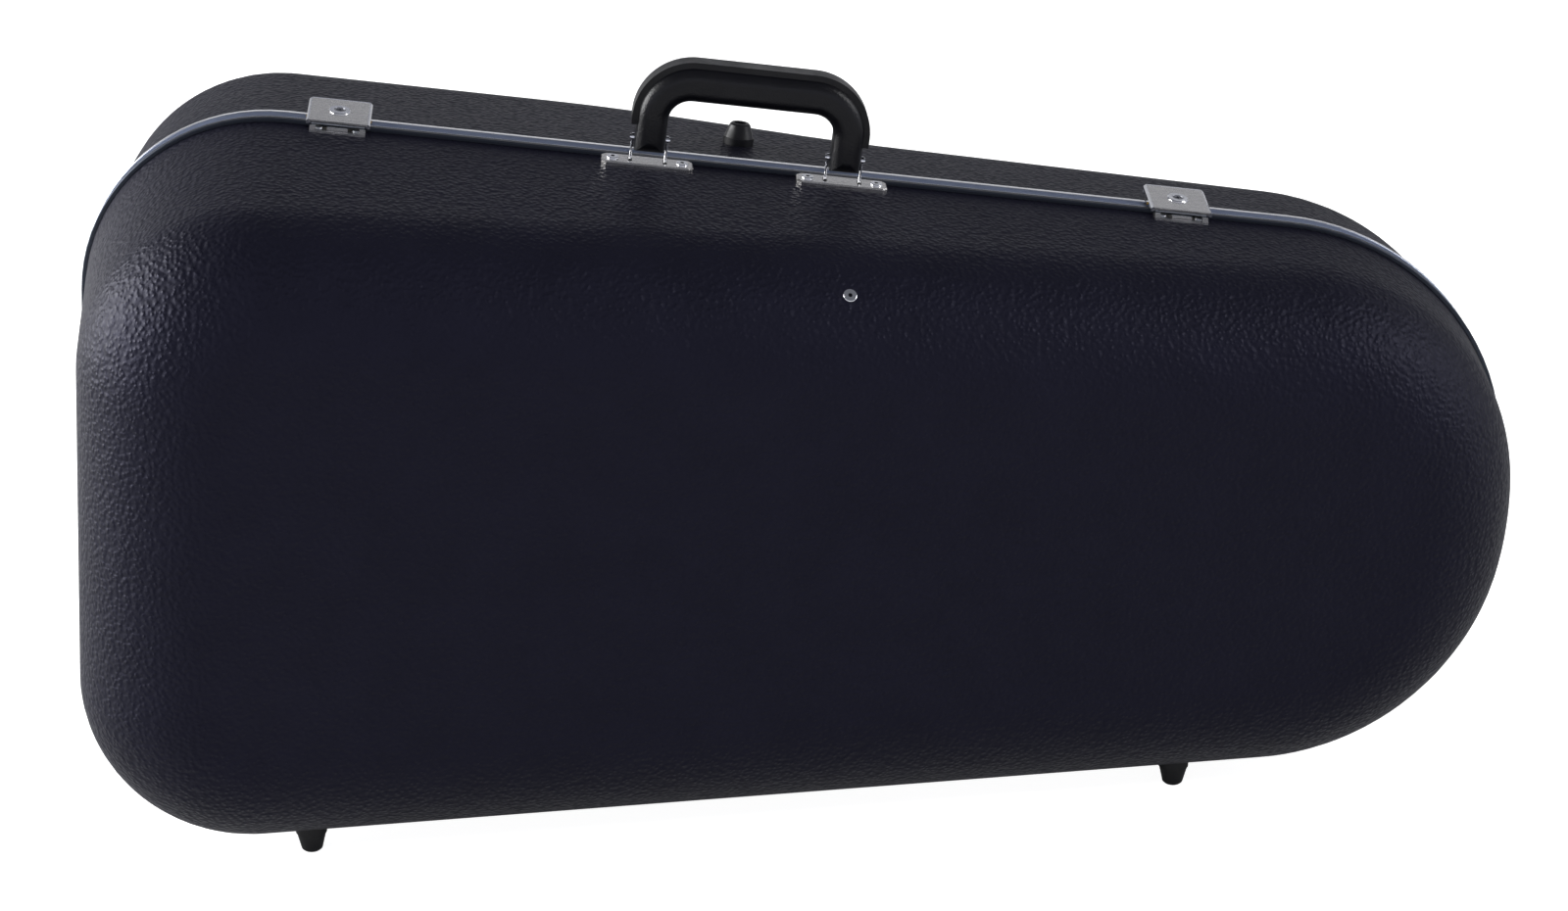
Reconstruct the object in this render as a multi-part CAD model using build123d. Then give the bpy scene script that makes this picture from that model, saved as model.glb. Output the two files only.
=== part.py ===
from build123d import *
import os
from math import asin, atan2, cos, degrees, radians, sin, sqrt, tan

# Moulded case for a baritone horn: two drafted shells that meet in an aluminium valance.
# It stands on its hinge side. X runs along the length to the narrow end, the front shell
# faces -Y, the lid shell faces +Y and Z is up.
# Each piece is drawn in a case frame first: u along the long axis (as X), y across the
# parting plane and v up (as Z), with the outline symmetric about the u axis.

# Outline of both shells at their edges
length = 800.0
height = 390.0
taper = 3.7
bell_corner = 0.259 * height
bow_half = height / 2 - 0.82 * length * tan(radians(taper))
bow_corner = 0.95 * bow_half
bow_end = 1.435 * bow_half

# Shells
wall = 3.0
draft = 4.2
front_depth_bell = 190.0
front_depth_bow = 99.0
front_shoulder = 0.677 * front_depth_bow
lid_depth_bell = 152.0
lid_depth_bow = 105.0
lid_shoulder = 0.552 * lid_depth_bow

# The lid is deep over the bell and steps down to a shallower part over the bow
lid_fall_bell = 0.004
lid_fall_bow = 0.051
lid_step_start = 283.0
lid_step_stop = 424.0
lid_step_round = 400.0

# Aluminium valance: a proud rim on each shell edge with a recess between
rim_width = 3.6
rim_proud = 2.2
recess_width = 8.0
valance_proud = 0.8
rim_corner = 0.7
lip_depth = 8.0
lip_thickness = 1.2
parting_gap = 0.3
tongue_reach = 4.0
tongue_thickness = 1.6
tongue_clearance = 0.4
seat_clearance = 0.05

# Feet and handle rest
foot_base_radius = 8.6
foot_tip_radius = 5.8
foot_flange = 4.0
foot_flange_step = 0.4
foot_height = 15.0
foot_bell_u = 134.0
foot_bow_u = 620.0
foot_beyond_flat = 8.0
rest_height = 12.0
rest_y = 55.0
foot_screw_head = 3.6
foot_screw_shank = 1.8
foot_screw_depth = 4.5
foot_screw_end = 4.5
foot_washer_radius = 6.0
foot_washer_thickness = 1.0

# Handle
handle_u = 357.0
leg_spacing = 107.0
leg_width = 16.6
grip_depth = 20.0
grip_thickness = 19.0
handle_reach = 62.0
handle_leg_gap = 6.5
handle_corner = 30.0
handle_inner_corner = 12.0
handle_edge = 6.5
handle_lip = 3.0
handle_lip_depth = 11.0
handle_lip_end = 15.0

# Handle plates, stirrups and pins
plate_length = 50.0
plate_width = 12.2
plate_thickness = 2.6
plate_corner = 2.5
plate_wall_gap = 0.02
wire_diameter = 1.4
stirrup_spacing = 19.0
stirrup_height = 14.5
stirrup_range = 30.0
wire_clearance = 0.08
slot_side_clearance = 0.4
eyelet_radius = 2.3
handle_pin_radius = 1.0
pin_clearance = 0.05
pin_head_radius = 1.7
pin_head_thickness = 0.7
plate_rivet_spacing = 38.0

# Hollow rivets
rivet_head_radius = 3.4
rivet_head_height = 1.0
rivet_shank_radius = 1.9
rivet_bore_radius = 1.1
small_rivet_radius = 1.3

# Draw latches, measured outward from the shell edge and back from the front shell edge
latch_bell_u = 136.0
latch_bow_u = 600.0
latch_width = 34.5
cheek_thickness = 1.5
lever_pivot_y = 21.3
lever_pivot_out = 4.3
lever_rear_low = 5.6
lever_back_y = 25.0
lever_front_y = -8.0
lever_back_out = 7.6
lever_front_out = 4.9
lever_plate_thickness = 1.0
lever_plate_drop = 0.1
lever_rail = 1.0
lever_rail_stop = 2.6
lever_bevel = 0.9
claw_pivot_y = 4.0
claw_pivot_out = 2.75
pivot_radius = 0.9
claw_arm_half = 13.2
claw_arm_width = 2.4
claw_thickness = 0.8
claw_front_y = -7.6
claw_bar = 2.6
claw_lug_radius = 1.6
latch_base_front_y = 12.1
latch_base_back_y = 25.4
latch_base_half = 13.4
latch_sheet = 1.2
latch_ear_thickness = 1.2
latch_ear_gap = 0.5
latch_ear_radius = 1.5
latch_ear_width = 2.6
lock_y = 8.5
lock_ring_radius = 5.9
lock_ring_height = 0.7
lock_core_radius = 3.1
lock_clearance = 0.05
lock_cam_reach = 6.5
lock_cam_thickness = 0.8
keyhole_length = 3.6
keyhole_width = 0.9
latch_rivet_x = 8.5
latch_rivet_y = 18.8

# Keepers
keeper_half = 15.0
keeper_front_y = -12.4
keeper_back_y = -4.1
keeper_tongue_half = 5.6
keeper_tongue_y = -10.2
keeper_out = 2.2
keeper_ear_width = 3.2
keeper_rivet_x = 10.2

# Hinges
hinge_bell_u = 225.0
hinge_bow_u = 560.0
hinge_length = 60.0
hinge_knuckle_radius = 1.8
hinge_pin_radius = 0.8
hinge_axis_out = 2.9
hinge_leaf_reach = 17.0
hinge_sheet = 1.0
hinge_knuckle_gap = 0.4
hinge_knuckles = 5
hinge_rivet_spacing = 40.0

# Rivet on the front shoulder and the strap that it holds
strap_rivet_u = 408.0
strap_rivet_v = 145.0
strap_rivet_radius = 3.75
strap_width = 25.0
strap_thickness = 1.8
strap_free_v = -40.0
strap_washer_radius = 7.0
strap_washer_thickness = 1.0

# Lining, cradles and pads
lining = 7.0
lining_gap = 0.3
lining_start = 10.0
bell_cradle_u = 190.0
bell_cradle_thickness = 46.0
bell_cradle_rest = 62.0
bow_cradle_u = 640.0
bow_cradle_thickness = 42.0
bow_cradle_rest = 48.0
cradle_drop = 24.0
cradle_spread = 10.0
lid_pad_u = 520.0
lid_pad_length = 150.0
lid_pad_width = 110.0
lid_pad_face_y = 78.0
lid_pad_round = 12.0

# Accessory compartment in the front shell, on the hinge side
box_bell_u = 300.0
box_bow_u = 520.0
box_wall = 5.0
box_height = 62.0
box_mouth_y = -20.0
flap_thickness = 4.0
flap_gap = 0.6
flap_proud = 0.4
flap_pin_radius = 1.0
flap_pin_in = 21.0
flap_barrel_radius = 2.6
tab_length = 22.0
tab_width = 16.0
tab_thickness = 1.6
mouthpiece_radius = 13.0
mouthpiece_block_length = 46.0
mouthpiece_block_depth = 34.0

# Joint ranges in degrees
lid_open = 115.0
lever_open = 90.0
claw_ratio = -0.35
lock_turn = 90.0
handle_swing = 45.0
flap_open = 75.0

overshoot = 1.0
far = 900.0


def side_half(u):
    """Half height of the outline at a place along the long axis."""
    return height / 2 - u * tan(radians(taper))


def top_side(u):
    """Frame on the handle side: X along the edge, Y to the lid, Z outward."""
    return Pos(u, 0, side_half(u)) * Rot(0, taper, 0)


def hinge_side(u):
    """Frame on the hinge side: X along the edge, Y to the front shell, Z outward."""
    return Pos(u, 0, -side_half(u)) * Rot(0, -taper, 0) * Rot(180, 0, 0)


def front_wall(u):
    """Frame on the drafted top wall of the front shell, with Z square to it."""
    return top_side(u) * Rot(draft, 0, 0)


def lid_wall(u):
    """Frame on the drafted top wall of the lid shell, with Z square to it."""
    return top_side(u) * Pos(0, recess_width, 0) * Rot(-draft, 0, 0)


def outline(grow):
    """Closed outline of the case, moved outward by grow, as a face in u and v."""
    slope = radians(taper)
    corner_u = bell_corner
    corner_v = side_half(corner_u) - bell_corner / cos(slope)
    edge_v = height / 2 - bow_corner / cos(slope)
    end_u = length - bow_end
    squared = 1 + tan(slope) ** 2
    linear = -2 * end_u - 2 * edge_v * tan(slope)
    constant = end_u**2 + edge_v**2 - (bow_end - bow_corner) ** 2
    turn_u = (-linear + sqrt(linear**2 - 4 * squared * constant)) / (2 * squared)
    turn_v = edge_v - turn_u * tan(slope)
    turn = asin(turn_v / (bow_end - bow_corner))
    side_angle = radians(90) - slope

    def on_circle(u, v, radius, angle):
        return (u + (radius + grow) * cos(angle), v + (radius + grow) * sin(angle))

    def half(sign):
        def point(u, v, radius, angle):
            place = on_circle(u, v, radius, angle)
            return (place[0], sign * place[1])

        corner_start = point(corner_u, corner_v, bell_corner, radians(180))
        corner_middle = point(corner_u, corner_v, bell_corner, (radians(180) + side_angle) / 2)
        corner_stop = point(corner_u, corner_v, bell_corner, side_angle)
        bow_start = point(turn_u, turn_v, bow_corner, side_angle)
        bow_middle = point(turn_u, turn_v, bow_corner, (side_angle + turn) / 2)
        bow_stop = point(turn_u, turn_v, bow_corner, turn)
        return [
            ThreePointArc(corner_start, corner_middle, corner_stop),
            Line(corner_stop, bow_start),
            ThreePointArc(bow_start, bow_middle, bow_stop),
        ]

    upper = half(1)
    lower = half(-1)
    tip = (length + grow, 0)
    nose = ThreePointArc(upper[2] @ 1, tip, lower[2] @ 1)
    back = Line(upper[0] @ 0, lower[0] @ 0)
    return make_face(Wire(upper + lower + [nose, back]))


def towards(side, y):
    """Plane across the case at y, with its normal to the front (-1) or the lid (+1)."""
    return Plane(origin=(0, y, 0), x_dir=(1, 0, 0), z_dir=(0, side, 0))


def ring(outer, inner, start, stop):
    """Band of the outline between two offsets, from start to stop across the case."""
    band = outline(outer) - outline(inner)
    return extrude(towards(1, start) * band, amount=stop - start)


def front_depth(u):
    """Depth of the front shell at u, from its edge to its broad face."""
    return front_depth_bell + (front_depth_bow - front_depth_bell) * u / length


def lid_depth(u):
    """Depth of the lid shell at u, leaving out the rounding at the ends of its step."""
    step_top = lid_depth_bell - lid_fall_bell * lid_step_start
    step_foot = lid_depth_bow + lid_fall_bow * (length - lid_step_stop)
    if u < lid_step_start:
        return lid_depth_bell - lid_fall_bell * u
    if u > lid_step_stop:
        return lid_depth_bow + lid_fall_bow * (length - u)
    share = (u - lid_step_start) / (lid_step_stop - lid_step_start)
    return step_top + (step_foot - step_top) * share


def beyond_face(side, inset):
    """Everything outside the broad face of a shell, inset from its outside."""
    if side < 0:
        line = Line((-far, inset - front_depth(-far)), (2 * far, inset - front_depth(2 * far)))
    else:
        corners = (-far, lid_step_start, lid_step_stop, 2 * far)
        points = [(u, recess_width + lid_depth(u) - inset) for u in corners]
        line = FilletPolyline(*points, radius=lid_step_round)
    start, stop = line @ 0, line @ 1
    back = Polyline(stop, (stop.X, side * far), (start.X, side * far), start)
    return extrude(make_face(Wire(list(line.edges()) + list(back.edges()))), amount=far, both=True)


def shell_form(side, inset, reach=0.0):
    """Solid drafted form of one shell, inset from its outside by a wall or a lining."""
    if side < 0:
        edge, bell, shoulder = 0.0, front_depth_bell, front_shoulder
    else:
        edge, bell, shoulder = recess_width, lid_depth_bell, lid_shoulder
    grow = reach * tan(radians(draft)) - inset
    face = towards(side, edge - side * reach) * outline(grow)
    blank = extrude(face, amount=bell + reach, taper=draft)
    cut = blank - beyond_face(side, inset)
    panel = [face for face in cut.faces() if side * face.normal_at().Y > 0.9]
    rim = [edge for face in panel for edge in face.edges() if not is_crease(edge)]
    return fillet(rim, shoulder - inset)


def is_crease(edge):
    """True for an edge straight up the broad face, where its step starts or stops."""
    ends = (edge @ 1) - (edge @ 0)
    upright = abs(ends.X) < 0.01 and abs(ends.Y) < 0.01
    return upright and edge.center().X > bell_corner


def flat_end(side, u):
    """How far the wall runs from its edge at u before the shoulder starts."""
    depth, shoulder = (front_depth(u), front_shoulder) if side < 0 else (lid_depth(u), lid_shoulder)
    return depth - shoulder * tan(radians(90 - draft) / 2)


def foot_y(side, u):
    """Distance of a foot from its shell's edge."""
    return flat_end(side, u) + foot_beyond_flat


def wall_rise(side, u):
    """How far the drafted wall has come in from its edge above a foot."""
    shoulder = front_shoulder if side < 0 else lid_shoulder
    round_rise = shoulder - sqrt(shoulder**2 - foot_beyond_flat**2)
    return foot_y(side, u) * tan(radians(draft)) + round_rise


# The case leans a little, because its like feet stand further out at the bell end.
foot_spacing = (foot_bow_u - foot_bell_u) / cos(radians(taper))
lean = degrees(asin((wall_rise(-1, foot_bell_u) - wall_rise(-1, foot_bow_u)) / foot_spacing))
standing = Rot(0, taper - lean, 0)
edge_at_foot = (standing * Pos(foot_bell_u, 0, -side_half(foot_bell_u))).position
floor_z = edge_at_foot.Z + wall_rise(-1, foot_bell_u) - foot_height

front_form = shell_form(-1, 0)
lid_form = shell_form(1, 0)
front_room = shell_form(-1, wall, overshoot)
lid_room = shell_form(1, wall, overshoot)


def drill(piece, place, radius, depth=60.0):
    """Hole along the Z of a frame, through whatever lies there."""
    return piece - place * Cylinder(radius, depth)


def hollow_rivet(place, head_radius, depth):
    """Domed hollow rivet that enters along -Z of its frame, with a rolled end."""
    head = place * Pos(0, 0, rivet_head_height / 2) * Cylinder(head_radius, rivet_head_height)
    head = fillet(head.edges().group_by(Axis(place.position, place.z_axis.direction))[-1],
                  rivet_head_height * 0.6)
    shank = place * Pos(0, 0, -depth / 2) * Cylinder(rivet_shank_radius, depth)
    roll = place * Pos(0, 0, -depth - rivet_head_height / 2)
    end = roll * Cylinder(rivet_shank_radius * 1.5, rivet_head_height)
    bore = place * Cylinder(rivet_bore_radius, 3 * depth + 8 * rivet_head_height)
    return head + shank + end - bore


def front_valance():
    """Extrusion on the front shell: rim, web to the parting plane and inner lip."""
    inner = wall + lip_depth * tan(radians(draft)) + seat_clearance
    rim = ring(rim_proud, 0, -rim_width, seat_clearance)
    rim = fillet(outer_edges(rim), rim_corner)
    web = ring(valance_proud, -inner - lip_thickness, seat_clearance, parting_y() - parting_gap / 2)
    lip = ring(-inner, -inner - lip_thickness, -lip_depth, seat_clearance)
    return rim + web + lip


def lid_valance():
    """Extrusion on the lid shell: the same section with a tongue that laps inside."""
    inner = wall + lip_depth * tan(radians(draft)) + seat_clearance
    lap = inner + lip_thickness + tongue_clearance
    edge = recess_width - seat_clearance
    rim = ring(rim_proud, 0, edge, recess_width + rim_width)
    rim = fillet(outer_edges(rim), rim_corner)
    web = ring(valance_proud, -lap - tongue_thickness, parting_y() + parting_gap / 2, edge)
    lip = ring(-inner, -inner - lip_thickness, edge, recess_width + lip_depth)
    tongue = ring(-lap, -lap - tongue_thickness, parting_y() - tongue_reach, edge)
    return rim + web + lip + tongue


def parting_y():
    """Middle of the recess, where the two valances meet."""
    return recess_width / 2


def outer_edges(rim):
    """The long edges on the outside of a rim ring."""
    chosen = []
    for face in rim.faces():
        if abs(face.normal_at().Y) > 0.9:
            chosen += face.outer_wire().edges()
    return chosen


def plate_centre(side):
    """Frame at the middle of a handle plate's underside, Y toward the lid."""
    u = handle_u + side * leg_spacing / 2 * cos(radians(taper))
    return front_wall(u) * Pos(0, -rim_width - plate_wall_gap - plate_width / 2, 0)


def wire_axis_out():
    """Height of the stirrup wire's hinge axis over the shell wall."""
    return wire_diameter / 2 + wire_clearance


def handle_plate(place):
    """Pressed plate with a tunnel for the stirrup wire and two slots for its legs."""
    plate = place * Pos(0, 0, plate_thickness / 2) * Box(plate_length, plate_width, plate_thickness)
    axis = Axis(place.position, place.z_axis.direction)
    plate = chamfer(plate.edges().filter_by(axis), plate_corner)
    plate = chamfer(plate.faces().sort_by(axis)[-1].outer_wire().edges(), 0.7)
    slot_half = wire_diameter / 2 + slot_side_clearance
    run = stirrup_spacing + 2 * slot_half
    tunnel_height = wire_axis_out() + wire_diameter / 2 + wire_clearance
    tunnel = place * Pos(0, 0, tunnel_height / 2)
    plate -= tunnel * Box(run, wire_diameter + 2 * wire_clearance, tunnel_height)
    travel = plate_thickness * tan(radians(stirrup_range)) + wire_diameter / 2 + slot_side_clearance
    travel += wire_diameter * (1 / cos(radians(stirrup_range)) - 1)
    for side in (-1, 1):
        slot = place * Pos(side * stirrup_spacing / 2, 0, plate_thickness / 2)
        plate -= slot * Box(2 * slot_half, 2 * travel, 2 * plate_thickness)
    for side in (-1, 1):
        plate = drill(plate, place * Pos(side * plate_rivet_spacing / 2, 0, 0), rivet_shank_radius)
    return plate


def stirrup(place):
    """Wire stirrup: a run under the plate, two legs and an eyelet at each top."""
    low = place * Pos(0, 0, wire_axis_out()) * Rot(-draft, 0, 0)
    radius = wire_diameter / 2
    run = low * Rot(0, 90, 0) * Cylinder(radius, stirrup_spacing)
    wire = run
    eye_bore = handle_pin_radius + pin_clearance
    for side in (-1, 1):
        foot = low * Pos(side * stirrup_spacing / 2, 0, 0)
        leg_length = stirrup_height - eye_bore
        leg = foot * Pos(0, 0, leg_length / 2) * Cylinder(radius, leg_length)
        eye = foot * Pos(0, 0, stirrup_height) * Rot(0, 90, 0) * Cylinder(eyelet_radius, wire_diameter)
        wire = wire + foot * Sphere(radius) + leg + eye
    for side in (-1, 1):
        eye = low * Pos(side * stirrup_spacing / 2, 0, stirrup_height) * Rot(0, 90, 0)
        wire -= eye * Cylinder(eye_bore, 3 * wire_diameter)
    return wire


def handle_frame():
    """Frame of the handle: on the stirrups' hinge axis, midway between the plates."""
    left = (plate_centre(-1) * Pos(0, 0, wire_axis_out())).position
    right = (plate_centre(1) * Pos(0, 0, wire_axis_out())).position
    middle = (left + right) / 2
    return Pos(middle.X, middle.Y, middle.Z) * Rot(0, taper, 0)


def arch(outer_half, top, inner_half, inner_top, outer_corner, inner_corner, low):
    """Arch profile in the plane of the handle, open at the bottom."""
    outer = Pos(0, (top + low) / 2) * Rectangle(2 * outer_half, top - low)
    outer = fillet(outer.vertices().group_by(Axis.Y)[-1], outer_corner)
    inner = Pos(0, (inner_top + low) / 2 - far / 2) * Rectangle(2 * inner_half, inner_top - low + far)
    inner = fillet(inner.vertices().group_by(Axis.Y)[-1], inner_corner)
    return outer - inner


def handle():
    """Moulded grip: a rounded arch with a narrower lip round its outside."""
    place = handle_frame()
    low = plate_thickness + handle_leg_gap - wire_axis_out()
    reach = handle_reach - wire_axis_out()
    outer_half = leg_spacing / 2 + leg_width / 2
    inner_half = leg_spacing / 2 - leg_width / 2
    top = reach - handle_lip
    body_profile = arch(outer_half, top, inner_half, top - grip_thickness,
                        handle_corner, handle_inner_corner, low)
    upright = place * Plane.XZ.location
    body = extrude(upright * body_profile, amount=grip_depth / 2, both=True)
    body = fillet(body.edges().filter_by(lambda edge: on_broad_face(edge, place)), handle_edge)
    lip_low = low + handle_lip_end
    lip_profile = arch(outer_half + handle_lip, reach, outer_half - handle_edge,
                       top - handle_edge, handle_corner + handle_lip,
                       handle_corner - handle_edge, lip_low)
    lip = extrude(upright * lip_profile, amount=handle_lip_depth / 2, both=True)
    grip = body + lip
    for side in (-1, 1):
        bore = place * Pos(side * leg_spacing / 2, 0, stirrup_height) * Rot(0, 90, 0)
        grip -= bore * Cylinder(handle_pin_radius, 2 * leg_width)
    return grip


def on_broad_face(edge, place):
    """True for an edge that lies wholly in the front or back face of the grip."""
    local = place.inverse() * edge
    box = local.bounding_box()
    return box.size.Y < 0.01 and abs(abs(box.center().Y) - grip_depth / 2) < 0.01


def handle_pins():
    """Headed pin through each handle leg and its two eyelets."""
    pins = []
    for side in (-1, 1):
        place = handle_frame() * Pos(side * leg_spacing / 2, 0, stirrup_height) * Rot(0, 90, 0)
        half = stirrup_spacing / 2 + wire_diameter / 2 + wire_clearance
        pin = place * Cylinder(handle_pin_radius, 2 * half)
        for end in (-1, 1):
            head = Pos(0, 0, end * (half + pin_head_thickness / 2))
            pin += place * head * Cylinder(pin_head_radius, pin_head_thickness)
        pins.append(pin)
    return pins


def lever_top(y):
    """Outward height of the lever's top surface at y."""
    share = (y - lever_front_y) / (lever_back_y - lever_front_y)
    return lever_front_out + (lever_back_out - lever_front_out) * share


def side_profile(points):
    """Closed profile in y and outward height, as a face across X."""
    plane = Plane(origin=(0, 0, 0), x_dir=(0, 1, 0), z_dir=(1, 0, 0))
    return plane * make_face(Polyline(*points, close=True))


def latch_lever(place):
    """Chromed lever frame: two cheeks, a back wall and eyes for both pivots."""
    half = latch_width / 2
    low = rim_proud + parting_gap
    points = [
        (lever_front_y, low),
        (lever_front_y, lever_front_out),
        (lever_back_y, lever_back_out),
        (lever_back_y, lever_pivot_out - 2.6),
        (lever_pivot_y - 3.0, lever_pivot_out - 2.6),
        (lever_pivot_y - 6.0, low + 0.6),
        (recess_width - 0.8, low),
    ]
    blank = extrude(side_profile(points), amount=half, both=True)
    rear = blank.edges().filter_by(Axis.Z).sort_by(Axis.Y)[-2:]
    blank = fillet(rear, 2.4)
    top = blank.faces().sort_by(Axis.Z)[-1]
    blank = chamfer(top.outer_wire().edges().filter_by(lambda edge: edge.center().Y > lever_front_y + 1),
                    lever_bevel)
    inner = half - cheek_thickness
    room_points = [
        (lever_front_y - 5, -5),
        (lever_front_y - 5, 20),
        (lever_back_y - cheek_thickness, 20),
        (lever_back_y - cheek_thickness, lever_rear_low),
        (lever_back_y + 5, lever_rear_low),
        (lever_back_y + 5, -5),
    ]
    frame = blank - extrude(side_profile(room_points), amount=inner, both=True)
    for side in (-1, 1):
        lug = Pos(side * (half - cheek_thickness / 2), claw_pivot_y, claw_pivot_out) * Rot(0, 90, 0)
        frame += lug * Cylinder(claw_lug_radius, cheek_thickness)
    rail_top = lever_plate_drop + lever_plate_thickness
    rail_low = rail_top + lever_rail
    back = lever_back_y - cheek_thickness
    rail_points = [
        (lever_front_y, lever_top(lever_front_y) - rail_low),
        (lever_front_y, lever_top(lever_front_y) - rail_top),
        (back, lever_top(back) - rail_top),
        (back, lever_top(back) - rail_low),
    ]
    rail = extrude(side_profile(rail_points), amount=inner, both=True)
    rail -= Box(2 * (inner - lever_rail), far, far)
    rail -= Pos(0, lever_pivot_y, 0) * Box(far, 2 * lever_rail_stop, far)
    frame += rail
    frame = drill(frame, Pos(0, lever_pivot_y, lever_pivot_out) * Rot(0, 90, 0),
                  pivot_radius + pin_clearance, 2 * latch_width)
    frame = drill(frame, Pos(0, claw_pivot_y, claw_pivot_out) * Rot(0, 90, 0),
                  pivot_radius, 2 * latch_width)
    return place * frame


def latch_plate(place):
    """Satin cover plate let into the lever frame, with a hole for the lock."""
    inner = latch_width / 2 - cheek_thickness
    low = lever_plate_drop + lever_plate_thickness
    back = lever_back_y - cheek_thickness
    points = [
        (lever_front_y, lever_top(lever_front_y) - low),
        (lever_front_y, lever_top(lever_front_y) - lever_plate_drop),
        (back, lever_top(back) - lever_plate_drop),
        (back, lever_top(back) - low),
    ]
    plate = extrude(side_profile(points), amount=inner, both=True)
    return place * drill(plate, lock_frame(), lock_core_radius + lock_clearance)


def lock_frame():
    """Frame of the lock in the latch: Z square to the lever's top."""
    rise = degrees(atan2(lever_back_out - lever_front_out, lever_back_y - lever_front_y))
    return Pos(0, lock_y, lever_top(lock_y)) * Rot(rise, 0, 0)


def lock_ring(place):
    """Bright collar round the lock on the lever plate."""
    slope = (lever_back_out - lever_front_out) / (lever_back_y - lever_front_y)
    drop = lever_plate_drop / sqrt(1 + slope**2)
    seat = lock_frame() * Pos(0, 0, lock_ring_height / 2 - drop)
    collar = seat * Cylinder(lock_ring_radius, lock_ring_height)
    collar = chamfer(collar.edges().group_by(Axis.Z)[-1], lock_ring_height * 0.55)
    return place * drill(collar, lock_frame(), lock_core_radius + lock_clearance)


def lock_core(place):
    """Lock barrel with a keyhole and a small cam below the plate."""
    top = lock_ring_height - 0.3
    deep = lever_plate_thickness + 0.4
    barrel = Pos(0, 0, (top - deep) / 2) * Cylinder(lock_core_radius, top + deep)
    for turn in (0, 90):
        barrel -= Pos(0, 0, top) * Rot(0, 0, turn) * Box(keyhole_length, keyhole_width, 1.6)
    cam_low = Pos(lock_cam_reach / 2, 0, -deep - lock_cam_thickness / 2)
    cam = cam_low * Box(lock_cam_reach, 3.0, lock_cam_thickness)
    hub = Pos(0, 0, -deep - lock_cam_thickness / 2) * Cylinder(2.2, lock_cam_thickness)
    return place * lock_frame() * (barrel + cam + hub)


def latch_claw(place):
    """Sheet claw on the brass pin: two arms and the crossbar that draws the lid shut."""
    low = rim_proud + parting_gap
    points = [
        (claw_front_y, low),
        (claw_front_y, low + claw_thickness),
        (claw_pivot_y, claw_pivot_out + claw_lug_radius * 0.9),
        (claw_pivot_y, claw_pivot_out - claw_lug_radius * 0.7),
        (claw_pivot_y - 2.8, claw_pivot_out - claw_lug_radius * 0.7),
        (claw_pivot_y - 3.5, low),
    ]
    half = claw_arm_half + claw_arm_width / 2
    pivot = Pos(0, claw_pivot_y, claw_pivot_out) * Rot(0, 90, 0)
    claw = extrude(side_profile(points), amount=half, both=True)
    claw += pivot * Cylinder(claw_lug_radius, 2 * half)
    window = 2 * claw_arm_half - claw_arm_width
    claw -= Pos(0, claw_front_y + claw_bar + far / 2, 0) * Box(window, far, far)
    return place * drill(claw, pivot, pivot_radius + pin_clearance, 2 * latch_width)


def latch_pin(place, y, out, half):
    """Straight pivot pin across the latch."""
    return place * Pos(0, y, out) * Rot(0, 90, 0) * Cylinder(pivot_radius, 2 * half)


def latch_base(place):
    """Base plate on the lid wall with two ears for the lever's pivot pin."""
    depth = latch_base_back_y - latch_base_front_y
    slab = Pos(0, (latch_base_front_y + latch_base_back_y) / 2, 0)
    plate = slab * Box(2 * latch_base_half, depth, 2 * latch_sheet + 3.0)
    slope = tan(radians(draft))
    upper = [
        (latch_base_front_y - 5, latch_sheet + (recess_width - latch_base_front_y + 5) * slope),
        (latch_base_front_y - 5, 20),
        (latch_base_back_y + 5, 20),
        (latch_base_back_y + 5, latch_sheet - (latch_base_back_y + 5 - recess_width) * slope),
    ]
    plate -= extrude(side_profile(upper), amount=latch_width, both=True)
    ear_x = latch_width / 2 - cheek_thickness - latch_ear_gap - latch_ear_thickness / 2
    ear_front = lever_pivot_y - latch_ear_radius
    ear_back = ear_front + latch_ear_width
    step = extrude(side_profile([
        (ear_front, -3.0),
        (ear_front, latch_sheet - (ear_front - recess_width) * slope),
        (ear_back, latch_sheet - (ear_back - recess_width) * slope),
        (ear_back, -3.0),
    ]), amount=ear_x + latch_ear_thickness / 2, both=True)
    base = plate + step
    for side in (-1, 1):
        ear = Pos(side * ear_x, (ear_front + ear_back) / 2, lever_pivot_out / 2 - 1.0)
        base += ear * Box(latch_ear_thickness, latch_ear_width, lever_pivot_out + 2.0)
        eye = Pos(side * ear_x, lever_pivot_y, lever_pivot_out) * Rot(0, 90, 0)
        base += eye * Cylinder(latch_ear_radius, latch_ear_thickness)
    base = drill(base, Pos(0, lever_pivot_y, lever_pivot_out) * Rot(0, 90, 0), pivot_radius, 2 * latch_width)
    base = place * base - lid_form
    for side in (-1, 1):
        base = drill(base, latch_rivet_frame(place, side), small_rivet_radius)
    return base


def latch_rivet_frame(place, side):
    """Frame on top of the latch base at one of its rivets, square to the lid wall."""
    slope = tan(radians(draft))
    out = latch_sheet - (latch_rivet_y - recess_width) * slope
    return place * Pos(side * latch_rivet_x, latch_rivet_y, out) * Rot(-draft, 0, 0)


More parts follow.
